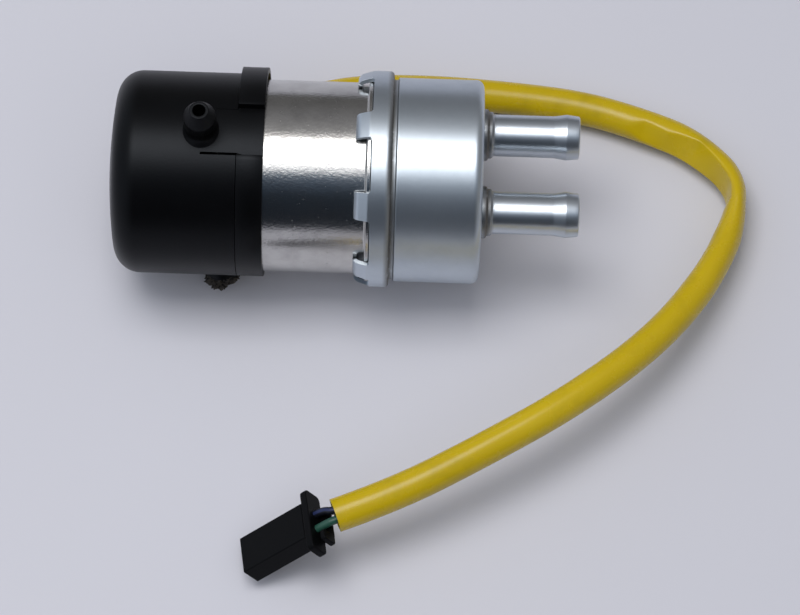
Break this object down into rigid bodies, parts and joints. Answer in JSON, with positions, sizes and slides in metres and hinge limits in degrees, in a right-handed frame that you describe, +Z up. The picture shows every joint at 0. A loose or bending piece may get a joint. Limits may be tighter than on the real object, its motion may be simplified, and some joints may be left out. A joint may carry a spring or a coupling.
{
  "type": "fuel pump",
  "caption": "Small solenoid fuel pump for a motorcycle: plated can, black contact cover with a vent nipple, crimped housing with side-by-side hose ports, and a sleeved two-wire lead.",
  "frame": {"origin": "on the pump's axis, midway between the contact base's rim and the crimp tabs", "axes": "+X along the pump's axis towards the hose ports, +Z up through the vent nipple, +Y towards the side where the lead leaves"},
  "size_m": [0.1283, 0.1091, 0.0498],
  "materials": {
    "cap_plastic": "moulded, fine satin",
    "vent_foam": "open-cell foam",
    "can_plate": "bright plated, drawn",
    "housing_zinc": "zinc plated, satin",
    "port_zinc": "bright zinc plated, turned",
    "inner_steel": "plain",
    "copper_wire": "enamelled winding",
    "brass": "plain",
    "bobbin_plastic": "moulded",
    "rubber": "moulded",
    "knob_plastic": "turned",
    "die_casting": "cast",
    "condenser_can": "drawn",
    "sleeve_vinyl": "soft vinyl, creased",
    "wire_black": "vinyl with a blue stripe",
    "wire_green": "vinyl",
    "connector_plastic": "moulded"
  },
  "bodies": {
    "pump_body": {"contact_cover": "cap_plastic", "vent_filter": "vent_foam", "contact_base": "cap_plastic", "pump_can": "can_plate", "valve_housing": "housing_zinc", "port_plate": "housing_zinc", "inlet_port": "port_zinc", "outlet_port": "port_zinc", "rear_pole_plate": "inner_steel", "fixed_core": "inner_steel", "guide_tube": "brass", "coil_bobbin": "bobbin_plastic", "coil_winding": "copper_wire", "front_pole_plate": "inner_steel", "pole_circlip": "inner_steel", "diaphragm": "rubber", "return_spring": "inner_steel", "valve_body": "die_casting", "body_gasket": "rubber", "inlet_valve_spring": "inner_steel", "inlet_valve_retainer": "brass", "outlet_valve_spring": "inner_steel", "outlet_valve_retainer": "brass", "breaker_plate": "inner_steel", "breaker_screws": "inner_steel", "toggle_pin": "inner_steel", "contact_pin": "inner_steel", "fixed_contact": "brass", "snap_spring": "inner_steel", "condenser": "condenser_can", "condenser_clip": "inner_steel", "cord_sleeve": "sleeve_vinyl", "lead_wire_black": "wire_black", "lead_wire_green": "wire_green", "connector_housing": "connector_plastic", "connector_terminals": "brass"},
    "plunger": {"armature": "inner_steel", "rear_cup": "inner_steel", "front_cup": "inner_steel", "rod_nut": "inner_steel", "push_rod": "inner_steel", "rod_knob": "knob_plastic"},
    "toggle": {"toggle_lever": "brass"},
    "contact_rocker": {"contact_arm": "brass"},
    "inlet_valve": {"inlet_valve_disc": "rubber"},
    "outlet_valve": {"outlet_valve_disc": "rubber"}
  },
  "joints": [
    {"name": "plunger_slide", "type": "slide", "parent": "pump_body", "child": "plunger", "axis": [-1, 0, 0], "range_m": [0, 0.003], "stiffness_N_per_m": 300, "deforming": ["return_spring", "diaphragm"]},
    {"name": "toggle_swing", "type": "hinge", "parent": "pump_body", "child": "toggle", "pos_m": [-0.025, 0, 0.009], "axis": [0, 1, 0], "range_deg": [0, 19.2]},
    {"name": "contact_swing", "type": "hinge", "parent": "pump_body", "child": "contact_rocker", "pos_m": [-0.0216, 0, -0.0096], "axis": [0, 1, 0], "range_deg": [0, 8], "deforming": ["snap_spring"]},
    {"name": "inlet_valve_slide", "type": "slide", "parent": "pump_body", "child": "inlet_valve", "axis": [-1, 0, 0], "range_m": [0, 0.0008], "stiffness_N_per_m": 20, "deforming": ["inlet_valve_spring"]},
    {"name": "outlet_valve_slide", "type": "slide", "parent": "pump_body", "child": "outlet_valve", "axis": [1, 0, 0], "range_m": [0, 0.0008], "stiffness_N_per_m": 20, "deforming": ["outlet_valve_spring"]}
  ],
  "couplings": [
    {"joint": "toggle_swing", "follows": "plunger_slide", "rad_per_m": 111.11},
    {"joint": "contact_swing", "follows": "plunger_slide", "rad_per_m": 46.5}
  ]
}
